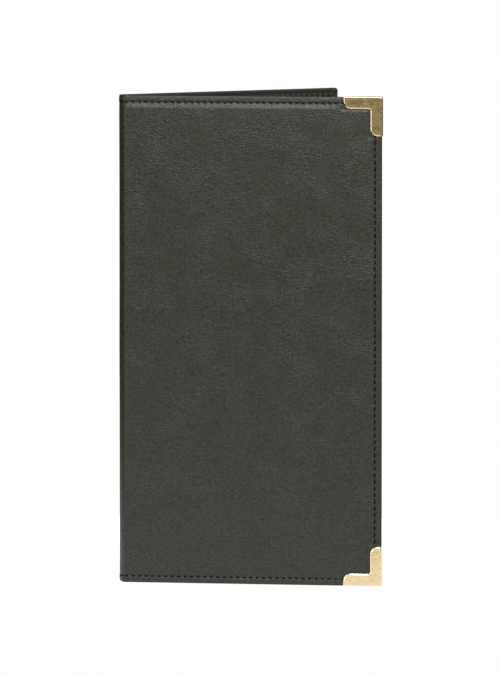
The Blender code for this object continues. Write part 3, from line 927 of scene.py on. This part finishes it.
def make_cap(name, node, up):
    """A corner cap of thin brass, with a raised rim beside the leatherette and rounded arm ends.

    A short crease runs from the inner corner into the face, where the press drew the metal in.
    The upright arm is a little narrower than the level one, and the lower cap sits closer in.
    """
    a, b, depth, travel = cap_grid()
    distance = cap_edge_distance(a, b)
    crease = bell(a - b, 0.22 * MM) * bell(distance - 1.2 * MM, 0.6 * MM)
    high = np.where(depth == 0.0, bead_height(distance) - 0.10 * MM * crease, 0.0)
    below = -0.20 * MM * (1 - smooth(0.0, 0.22 * MM, distance))
    low = np.where(np.isclose(depth, CAP_ABOVE - CAP_BELOW), below, 0.0)
    free_edge = REACH + CAP_PROUD - PRESSED_IN
    end = HALF + CAP_PROUD - PRESSED_IN - (0.0 if up > 0 else 0.3 * MM)
    narrower = 0.35 * MM * smooth(0.5 * MM, ARM - MM, a)
    points = FRONT.world(free_edge - a + narrower, CAP_BELOW + depth - high + low, up * (end - b))
    faces = [quads(np.arange(a.size).reshape(a.shape))[:, [0, 3, 2, 1]]]
    uv = np.stack([(a - b).ravel(), travel.ravel()], axis=1)
    finish, wall = brass("brass_finish"), sizes().metal
    piece = make_piece(name, points.reshape(-1, 3), faces, uv, finish, wall, flip=up < 0)
    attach(piece, "front_cover")
    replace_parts(piece, node)
    return piece


# Finishes

class Wire:
    """A node's output, on which plain sums build Math nodes."""

    def __init__(self, finish, socket):
        self.finish, self.socket = finish, socket

    def math(self, operation, *others):
        """A Math node with this output first."""
        return self.finish.node("Math", {"operation": operation}, dict(enumerate((self, *others))))

    def __add__(self, other):
        return self.math("ADD", other)

    def __sub__(self, other):
        return self.math("SUBTRACT", other)

    def __mul__(self, other):
        return self.math("MULTIPLY", other)

    def __truediv__(self, other):
        return self.math("DIVIDE", other)

    def __pow__(self, other):
        return self.math("POWER", other)

    def __rsub__(self, other):
        return self.finish.node("Math", {"operation": "SUBTRACT"}, {0: other, 1: self})

    __radd__, __rmul__ = __add__, __mul__

    def absolute(self):
        return self.math("ABSOLUTE")

    def fraction(self):
        return self.math("FRACT")

    def least(self, other):
        return self.math("MINIMUM", other)

    def most(self, other):
        return self.math("MAXIMUM", other)

    def step(self, start, end):
        """0 at start and 1 at end, with an even step between, and held outside them."""
        return self.finish.node(
            "MapRange",
            {"interpolation_type": "SMOOTHSTEP", "clamp": True},
            {"Value": self, "From Min": start, "From Max": end, "To Min": 0.0, "To Max": 1.0},
        )


class Finish:
    """A material in the making. One method adds any node and says what its sockets hold."""

    def __init__(self, name, tree=None):
        if tree is None:
            self.material = bpy.data.materials.new(name)
            self.material.use_nodes = True
            tree = self.material.node_tree
        self.tree = tree
        self.tree.nodes.clear()

    def node(self, kind, settings=None, sockets=None, out=0):
        """Adds a node. Its settings are set first, then the values and links of its sockets."""
        made = self.tree.nodes.new("ShaderNode" + kind)
        for name, value in (settings or {}).items():
            if name == "stops":
                self.set_stops(made.color_ramp, value)
            else:
                setattr(made, name, value)
        for key, value in (sockets or {}).items():
            socket = made.inputs[key]
            if isinstance(value, Wire):
                self.tree.links.new(value.socket, socket)
            else:
                socket.default_value = value
        return Wire(self, made.outputs[out]) if made.outputs else None

    def set_stops(self, ramp, stops):
        """Gives a ramp these places and colours in place of its own."""
        while len(ramp.elements) > 1:
            ramp.elements.remove(ramp.elements[-1])
        ramp.elements[0].position = stops[0][0]
        ramp.elements[0].color = (*stops[0][1], 1.0)
        for place, tone in stops[1:]:
            ramp.elements.new(place).color = (*tone, 1.0)

    def cut(self):
        """Places on the cut sheet, in metres."""
        return self.node("UVMap", {"uv_map": "cut"})

    def own(self):
        """Places on the piece itself, in metres."""
        return self.node("TexCoord", out=3)

    def parts(self, vector):
        """The three parts of a vector."""
        separate = self.node("SeparateXYZ", None, {0: vector}).socket.node
        return [Wire(self, output) for output in separate.outputs]

    def mix(self, share, first, second):
        """Two colours by share, each a wire or three numbers."""
        tones = [tone if isinstance(tone, Wire) else (*tone, 1.0) for tone in (first, second)]
        return self.node("Mix", {"data_type": "RGBA"}, {0: share, 6: tones[0], 7: tones[1]}, out=2)

    def scaled(self, vector, scale):
        """A vector times three numbers."""
        return self.node("VectorMath", {"operation": "MULTIPLY"}, {0: vector, 1: scale})

    def in_mm(self, vector):
        """Places in millimetres, so that a pattern's scale is its number of features in one."""
        return self.scaled(vector, (1000.0, 1000.0, 1000.0))

    def moved(self, vector, other):
        """A vector plus another, which is a wire or three numbers."""
        return self.node("VectorMath", {"operation": "ADD"}, {0: vector, 1: other})

    def noise(self, vector, scale, detail=2.0, roughness=0.5, distortion=0.0, out=0):
        """Noise in three dimensions."""
        sockets = {
            "Vector": vector,
            "Scale": scale,
            "Detail": detail,
            "Roughness": roughness,
            "Distortion": distortion,
        }
        return self.node("TexNoise", {"noise_dimensions": "3D"}, sockets, out)

    def astray(self, vector, scale, detail, scope):
        """A vector that wanders: a noise's colour less its mean, times three numbers."""
        wander = self.noise(vector, scale, detail, out=1)
        return self.scaled(self.moved(wander, (-0.5, -0.5, -0.5)), scope)

    def cells(self, vector, scale, feature="F1", out=0):
        """Cells round scattered points."""
        sockets = {"Vector": vector, "Scale": scale}
        return self.node("TexVoronoi", {"feature": feature}, sockets, out)

    def bump(self, height, distance):
        """A normal for heights from 0 to 1 times a distance."""
        return self.node("Bump", None, {"Height": height, "Distance": distance, "Strength": 1.0})

    def surface(self, base, roughness, normal=None, metallic=0.0, **held):
        """The Principled shader, with sockets that hold one value given by name."""
        tone = base if isinstance(base, Wire) else (*base, 1.0)
        sockets = {"Base Color": tone, "Roughness": roughness, "Metallic": metallic}
        if normal is not None:
            sockets["Normal"] = normal
        sockets.update({name.replace("_", " "): value for name, value in held.items()})
        return self.node("BsdfPrincipled", None, sockets)

    def close(self, shader):
        """The output, and the finished material."""
        self.node("OutputMaterial", None, {"Surface": shader})
        return self.material


def made_once(build):
    """Lets a finish be called by its material's name, and builds it on the first call only."""

    @functools.wraps(build)
    def finish(name, *details, **named):
        return bpy.data.materials.get(name) or build(Finish(name), *details, **named)

    return finish


def tinted(base, *factors):
    """A colour times one factor, or times one for each of its three parts."""
    return tuple(part * factor for part, factor in zip(base, factors * 3))


def cut_places(made):
    """u and z on the cut sheet, and the distances from its free edge and from its nearer end."""
    along_u, along_z, _ = made.parts(made.cut())
    return along_u, along_z, REACH - along_u, HALF - along_z.absolute()


def from_stitch(along, start):
    """How far a point lies past the middle of its nearest stitch, along the seam.

    A hundred pitches are added first, so that the fraction is always taken of a positive number.
    """
    pitch = sizes().pitch
    return (((along - start) / pitch + 100.5).fraction() - 0.5) * pitch


def painted_stitch_shadow(places, turn):
    """Painted shadow of the stitches on a cover, from 0 to 1, worked out from the cut's own
    lengths.

    Each shadow leans with its thread and widens towards the end where the thread dives: the
    distance past the middle line's ends is drawn into half circles.
    """
    size = sizes()
    along_u, along_z, free, end = places

    def slot(place, across, shown, wider, lean):
        """One seam's painted shadows, by the place along a stitch and the distance from the edge.
        """
        share = place / (shown / 2)
        past = (place.absolute() - (shown / 2 - 0.24 * MM)).most(0.0)
        wide = share * (0.10 * MM * wider) + 0.40 * MM
        aside = across - STITCH_INSET - share * lean
        return 1.0 - ((past / wide) ** 2.0 + (aside / wide) ** 2.0).step(0.45, 1.35)

    def beyond(distance):
        """1 where the other seam ends inside this distance, so that the two don't cross."""
        return (distance - STITCH_INSET - 0.3 * MM).step(0.0, 0.1 * MM)

    end_lean, side_lean = along_z.step(0.0, 10 * MM) * (END_LEAN * turn), -SIDE_LEAN * turn
    rows = slot(from_stitch(along_u, MID_SPINE), end, size.short_stitch, turn, end_lean)
    side = slot(from_stitch(along_z, 0.0), free, size.long_stitch, -1.0, side_lean)
    return (rows * beyond(free)).most(side * beyond(end))


@made_once
def leatherette(made, turn):
    """Padded leatherette: short flowing wrinkles, fine pebbles, faint blotches and a few specks.

    The wrinkles are a noise drawn out sideways, on coordinates that a much wider noise bends, so
    that they run level in most places and aslant in others. Painted shade darkens the grain's
    valleys, round the stitches and the turned edge, most of all along the bottom and the free edge.
    """
    vector, base = made.in_mm(made.cut()), colours().leather
    bend = made.astray(vector, 0.06, 1.0, (4.0, 9.0, 0.0))
    wobble = made.astray(vector, 0.45, 1.5, (0.7, 1.1, 0.0))
    flowing = made.moved(made.moved(vector, bend), wobble)
    drawn_out = made.scaled(flowing, (0.62, 1.0, 1.0))
    strands = made.noise(drawn_out, 1.0, 1.0)
    lines = (made.noise(drawn_out, 0.74, 0.8) - 0.5).absolute().step(0.0, 0.16)
    pebbles = made.cells(made.scaled(flowing, (0.80, 1.0, 1.0)), 1.15, "DISTANCE_TO_EDGE")
    pebble = pebbles.step(0.0, 0.34)
    fine = made.cells(vector, 3.4, "DISTANCE_TO_EDGE").step(0.0, 0.3)
    lively = made.noise(made.moved(vector, (31.0, 17.0, 0.0)), 0.045).step(0.36, 0.62)
    relief = (strands * 2.0 + lines * 0.45 + pebble * 0.26) * (lively * 0.72 + 0.48) + fine * 0.06
    places = cut_places(made)
    along_z, free, end = places[1:]
    # Painted shade on the turned edge: a wider band along the free edge and the bottom, a narrower
    # one along both ends.
    painted_lighting = 1.0 - free.least(along_z + HALF).step(-0.10 * MM, 0.70 * MM)
    turned = (1.0 - end.step(-0.35 * MM, 0.20 * MM)).most(painted_lighting) * 0.62
    blotch = made.noise(vector, 0.09, 3.0, 0.55).step(0.36, 0.64)
    tone = made.mix(blotch, tinted(base, 0.965, 1.01, 0.995), tinted(base, 1.035, 1.0, 0.98))
    tone = made.mix(made.noise(vector, 0.03).step(0.3, 0.7) * 0.35, tone, tinted(base, 1.12))
    # Painted shade in the grain's low places: the wrinkles' valleys and the pebbles' edges are
    # darkened.
    low = (1.0 - lines) * 0.36 + (1.0 - pebble) * 0.24 + strands.step(0.54, 0.30) * 0.36
    tone = made.mix(low, tone, tinted(base, 0.45))
    pick = made.node("SeparateColor", None, {0: made.cells(vector, 0.055, out=1)})
    speck = (1.0 - made.cells(vector, 0.055).step(0.010, 0.020)) * pick.step(0.72, 0.74)
    tone = made.mix(speck * 0.9, tone, (0.30, 0.29, 0.26))
    rough = 0.37 + (1.0 - pebble) * 0.10 + blotch * 0.05
    normal = made.bump(relief, sizes().grain)
    leather = made.surface(tone, rough, normal, Specular_IOR_Level=0.50)
    # A near-black surface mixed in as painted shade round the stitches, on the turned edge and in
    # the grain's valleys.
    painted_shade_surface = made.surface((0.003, 0.003, 0.0025), 0.9, Specular_IOR_Level=0.05)
    share = painted_stitch_shadow(places, turn).most(turned).most(low * 0.34)
    return made.close(made.node("MixShader", None, {0: share, 1: leather, 2: painted_shade_surface}))


@made_once
def cloth(made, base, grain, depth, rough, gloss, painted_lighting=False):
    """A thin plain sheet with a fine crossed grain, and a painted highlight where the seam lifts
    it.
    """
    vector = made.in_mm(made.cut())
    warped = made.moved(vector, made.astray(vector, 0.7, 2.0, (0.5, 0.5, 0.5)))
    edge = made.cells(warped, grain, "DISTANCE_TO_EDGE").step(0.0, 0.3)
    fine = made.noise(vector, grain * 2.2, 2.0, 0.6)
    cloud = made.noise(vector, 0.08, 3.0, 0.55).step(0.35, 0.65)
    tone = made.mix(cloud, tinted(base, 0.86), tinted(base, 1.14))
    tone = made.mix((1.0 - edge) * 0.3, tone, tinted(base, 0.5))
    if painted_lighting:
        along_u, along_z, free, end = cut_places(made)

        def ridge(along, across, start):
            """1 between two stitches, falling to 0 on an oval round that place."""
            gap = (from_stitch(along, start).absolute() - sizes().pitch / 2).absolute()
            off = (across - STITCH_INSET) / (1.4 * MM)
            return 1.0 - ((gap / (0.75 * MM)) ** 2.0 + off**2.0).step(0.0, 1.0)

        # Painted highlight: the ridges that the seam lifts between two stitches are made lighter.
        painted_ridge_highlight = ridge(along_u, end, MID_SPINE).most(ridge(along_z, free, 0.0))
        tone = made.mix(painted_ridge_highlight * 0.8, tone, tinted(base, 3.8, 4.1, 4.6))
    normal = made.bump(edge * 0.6 + fine * 0.4, depth)
    return made.close(made.surface(tone, rough + cloud * 0.08, normal, Specular_IOR_Level=gloss))


@made_once
def sewing_thread(made):
    """Twisted thread: slanting plies along the stitch's own length."""
    flat, base = made.cut(), colours().thread
    along, around, _ = made.parts(flat)
    ply = (along * 2600.0 + around * 1500.0).math("SINE") * 0.5 + 0.5
    hair = made.noise(made.scaled(flat, (4000.0, 9000.0, 1.0)), 1.0, 2.0, 0.6)
    normal = made.bump(ply * 0.8 + hair * 0.2, 0.05 * MM)
    tone = made.mix(ply, tinted(base, 0.5), tinted(base, 1.7))
    return made.close(made.surface(tone, 0.78 - ply * 0.10, normal, Specular_IOR_Level=0.08))


@made_once
def brass(made):
    """Pressed brass: slightly wavy, with cloudy tarnish, fine rubbing marks and darker hollows."""
    vector, base = made.in_mm(made.own()), colours().brass
    wave = made.noise(vector, 0.40, 3.0, 0.55, 0.4)
    ripple = made.noise(vector, 1.1, 3.0, 0.6)
    rub = made.noise(made.scaled(vector, (1.0, 1.0, 6.0)), 1.6, 3.0, 0.6)
    normal = made.bump(wave * 0.8 + ripple * 0.24 + rub * 0.04, 0.14 * MM)
    cloud = made.noise(vector, 0.42, 3.0, 0.6, 0.6).step(0.36, 0.64)
    tone = made.mix(cloud, tinted(base, 0.94, 0.96, 0.80), tinted(base, 1.10, 0.98, 1.10))
    spots = made.noise(made.moved(vector, (9.0, 4.0, 2.0)), 1.7, 4.0, 0.65).step(0.56, 0.74)
    tone = made.mix(spots * 0.14, tone, tinted(base, 0.62, 0.56, 0.42))
    rough = 0.16 + cloud * 0.08 + spots * 0.12
    return made.close(made.surface(tone, rough, normal, metallic=1.0))


@made_once
def greyboard(made):
    """Grey board: short pressed fibres."""
    vector, base = made.in_mm(made.own()), colours().board
    fibre = made.noise(made.scaled(vector, (1.0, 1.0, 0.35)), 1.6, 4.0, 0.65, 0.8)
    tone = made.mix(fibre.step(0.3, 0.7), tinted(base, 0.75), tinted(base, 1.2))
    return made.close(made.surface(tone, 0.85 + fibre * 0.1, made.bump(fibre, 0.08 * MM)))


@made_once
def foam(made):
    """Thin foam: open pores."""
    vector, base = made.in_mm(made.own()), colours().foam
    pore = made.cells(vector, 2.2).step(0.05, 0.55)
    tone = made.mix(pore, tinted(base, 1.1), tinted(base, 0.7))
    return made.close(made.surface(tone, 0.9 + pore * 0.08, made.bump(1.0 - pore, 0.15 * MM)))


@made_once
def table_top(made):
    """A pale floor that gives off a little light of its own, so that it stays white."""
    base, glow = colours().floor, (1.0, 1.0, 0.995, 1.0)
    tone = made.mix(made.noise(made.own(), 3.0), tinted(base, 0.99), base)
    return made.close(made.surface(tone, 0.9, Emission_Color=glow, Emission_Strength=0.95))


# The stage

# The camera's distance in metres, its lens in mm, its angles, and its shift right and up in metres
VIEW_DISTANCE, LENS = 4.5733, 468.82
VIEW_PITCH, VIEW_TURN = math.radians(4.328), math.radians(9.366)
VIEW_SHIFT = (-0.06611, -0.00085)

# The floor's extent and height
FLOOR_X, FLOOR_Y, FLOOR_Z = (-0.30, 0.42), (-0.36, 0.32), -0.0002


def looking(direction):
    """The turn that points a camera's or a light's axis along a direction."""
    return direction.to_track_quat("-Z", "Y").to_euler()


def make_camera():
    """A long lens, a little above mid-height and turned towards the crease, as in the photo."""
    data = bpy.data.cameras.new("view")
    data.lens, data.sensor_width = LENS, 36.0
    data.clip_start, data.clip_end = 0.1, 100.0
    camera = add_object("view", data)
    sine, cosine = math.sin(VIEW_TURN), math.cos(VIEW_TURN)

    def placed(across, along, up):
        """A way given across the view, along it and up, in the frame."""
        return Vector((across * cosine - along * sine, across * sine + along * cosine, up))

    flat, high = math.cos(VIEW_PITCH), math.sin(VIEW_PITCH)
    across, up = -VIEW_SHIFT[0], high * VIEW_DISTANCE - VIEW_SHIFT[1]
    camera.location = Vector(FRONT_CREASE) + placed(across, -flat * VIEW_DISTANCE, up)
    camera.rotation_euler = looking(placed(0.0, flat, -high))
    bpy.context.scene.camera = camera


def make_light(name, place, aim, size, power):
    """A flat soft light of this width and height."""
    data = bpy.data.lights.new(name, "AREA")
    data.shape, data.energy = "RECTANGLE", power
    data.size, data.size_y = size
    light = add_object(name, data)
    light.location, light.visible_camera = place, False
    light.rotation_euler = looking(Vector(aim) - Vector(place))


def make_floor():
    """A flat pale floor like a table's top: the four corners of a rectangle."""
    x, y = (grid.ravel() for grid in np.meshgrid(FLOOR_X, FLOOR_Y))
    points, corners = np.stack([x, y, np.full(4, FLOOR_Z)], axis=1), np.array([[0, 1, 3, 2]])
    floor = make_piece("floor", points, [corners], points[:, :2], table_top("floor_finish"))


def light_sky():
    """White behind the object, and for light and reflections a soft room.

    The room is dim and warm below the horizon, lit above it, brighter to the right, and falls off
    to the left and behind.
    """
    world = bpy.data.worlds.new("studio")
    world.use_nodes = True
    made = Finish("studio", world.node_tree)
    right, deep, up = made.parts(made.node("TexCoord"))
    stops = (
        (0.0, (0.10, 0.095, 0.08)),
        (0.41, (0.11, 0.095, 0.055)),
        (0.45, (0.165, 0.14, 0.08)),
        (0.47, (0.24, 0.205, 0.125)),
        (0.495, (0.42, 0.38, 0.27)),
        (0.515, (0.50, 0.49, 0.46)),
        (0.60, (0.34, 0.34, 0.33)),
        (1.0, (0.28, 0.29, 0.30)),
    )
    room = made.node("ValToRGB", {"stops": stops}, {0: up * 0.5 + 0.5})
    sides = 1.0 - (-0.30 - right).step(0.0, 0.55) * 0.50 + (right - 0.30).step(0.0, 0.55) * 0.50
    behind = 1.0 - deep.step(0.0, 0.75) * 0.65
    room = made.node("VectorMath", {"operation": "SCALE"}, {0: room, "Scale": sides * behind})
    lit = made.node("Background", None, {"Color": room, "Strength": 1.0})
    seen = made.node("Background", None, {"Color": (1.0, 1.0, 1.0, 1.0), "Strength": 1.0})
    both = made.node("MixShader", None, {0: made.node("LightPath"), 1: lit, 2: seen})
    made.node("OutputWorld", None, {"Surface": both})
    bpy.context.scene.world = world


# Operators

class MakeLeather(bpy.types.Operator):
    """Wraps both covers and the spine in leatherette"""

    bl_idname = "presenter.leather"
    bl_label = "Leatherette"

    def execute(self, context):
        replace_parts(make_leather(FRONT), "front_skin", "spine_skin")
        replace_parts(make_leather(BACK), "back_skin")
        return {"FINISHED"}


class MakeLinings(bpy.types.Operator):
    """Lines both covers and the spine"""

    bl_idname = "presenter.linings"
    bl_label = "Linings"

    def execute(self, context):
        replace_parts(make_lining(FRONT), "front_lining", "spine_lining")
        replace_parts(make_lining(BACK), "back_lining")
        return {"FINISHED"}


class MakePockets(bpy.types.Operator):
    """Sews the patch pockets and the card pocket"""

    bl_idname = "presenter.pockets"
    bl_label = "Pockets"

    def execute(self, context):
        make_pocket(FRONT, "front_pocket", 0.7 * MM)
        make_pocket(BACK, "back_pocket", 0.7 * MM)
        make_pocket(BACK, "card_pocket", 0.6 * MM)
        return {"FINISHED"}


class MakeStitches(bpy.types.Operator):
    """Makes every stitch that shows, outside and inside"""

    bl_idname = "presenter.stitches"
    bl_label = "Stitches"

    def execute(self, context):
        for cover, turn, seed in ((FRONT, 1, 3), (BACK, -1, 5)):
            for later, (kind, strand, *thread) in enumerate(two_threads(cover)):
                seams = cover_seams(cover.capped, turn if kind == "needle" else 0)
                name = f"{cover.name}_{kind}_stitches"
                piece = sew(name, cover, seams, *thread, seed + later)
                strand.blend(piece, cover)
                if cover.capped:
                    sides = ("top", "side", "bottom")
                    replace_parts(piece, *[f"front_{side}_{kind}_thread" for side in sides])
                else:
                    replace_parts(piece, f"back_{kind}_thread")
        for seed, (kind, _, *thread) in enumerate(two_threads(FRONT), 9):
            piece = sew(f"spine_{kind}_stitches", FRONT, spine_seams(), *thread, seed)
            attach(piece, "spine")
            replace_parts(piece, f"spine_top_{kind}_thread", f"spine_bottom_{kind}_thread")
        for cover, node in ((FRONT, "front_pocket"), (BACK, "back_pocket"), (BACK, "card_pocket")):
            seams, place = pocket_seams(cover, node)
            name = node + "_stitches"
            piece = sew(name, cover, seams, place, sizes().bobbin, BOBBIN_SUNK, 11)
            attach(piece, cover.body)
            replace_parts(piece, node + "_thread")
        return {"FINISHED"}


class MakeCaps(bpy.types.Operator):
    """Presses the two corner caps"""

    bl_idname = "presenter.caps"
    bl_label = "Corner caps"

    def execute(self, context):
        make_cap("top_cap", "top_corner_cap", 1)
        make_cap("bottom_cap", "bottom_corner_cap", -1)
        return {"FINISHED"}


class FinishInside(bpy.types.Operator):
    """Gives the boards and the foam inside the covers their finish"""

    bl_idname = "presenter.inside"
    bl_label = "Boards and foam"

    def execute(self, context):
        boards, pads = greyboard("greyboard_finish"), foam("foam_finish")
        for finish, ending in ((boards, "_board"), (pads, "_foam_pad")):
            for side in ("front", "back"):
                node = frame["nodes"][side + ending]
                node.data.materials.clear()
                node.data.materials.append(finish)
        return {"FINISHED"}


class SetStage(bpy.types.Operator):
    """Sets the floor, the light and the camera"""

    bl_idname = "presenter.stage"
    bl_label = "Stage"

    def execute(self, context):
        context.scene.view_settings.view_transform = "Standard"
        make_floor()
        light_sky()
        make_camera()
        make_light("key", (0.22, -0.30, 0.66), (0.02, 0.0, 0.20), (0.9, 0.42), 8.7)
        make_light("side", (-0.75, -0.70, 0.34), (0.0, 0.0, 0.18), (0.40, 0.80), 2.6)
        make_light("front", (-0.12, -0.96, 0.78), (0.0, 0.0, 0.05), (0.6, 0.35), 0.7)
        make_light("back", (-0.12, 1.0, 0.05), (0.0, 0.0, 0.12), (0.15, 0.36), 11.0)
        return {"FINISHED"}


class PresenterPanel(bpy.types.Panel):
    """Lists the steps that dress the folder"""

    bl_idname = "VIEW3D_PT_presenter"
    bl_label = "Check Presenter"
    bl_space_type = "VIEW_3D"
    bl_region_type = "UI"
    bl_category = "Check Presenter"

    def draw(self, context):
        for step in STEPS:
            self.layout.operator(step.bl_idname)
        for group in (context.scene.presenter_sizes, context.scene.presenter_colours):
            box = self.layout.box()
            for name in group.bl_rna.properties.keys():
                if name not in {"rna_type", "name"}:
                    box.prop(group, name)


STEPS = (MakeLeather, MakeLinings, MakePockets, MakeStitches, MakeCaps, FinishInside, SetStage)
GROUPS = (PresenterSizes, PresenterColours)


def register():
    """Registers the classes and puts the two groups on the scene."""
    for kind in (*GROUPS, *STEPS, PresenterPanel):
        bpy.utils.register_class(kind)
    bpy.types.Scene.presenter_sizes = bpy.props.PointerProperty(type=PresenterSizes)
    bpy.types.Scene.presenter_colours = bpy.props.PointerProperty(type=PresenterColours)


def unregister():
    """Takes both away again."""
    del bpy.types.Scene.presenter_colours
    del bpy.types.Scene.presenter_sizes
    for kind in reversed((*GROUPS, *STEPS, PresenterPanel)):
        bpy.utils.unregister_class(kind)


def main():
    """Dresses the folder step by step."""
    register()
    for step in STEPS:
        group, name = step.bl_idname.split(".")
        getattr(getattr(bpy.ops, group), name)()


if __name__ == "__main__":
    main()
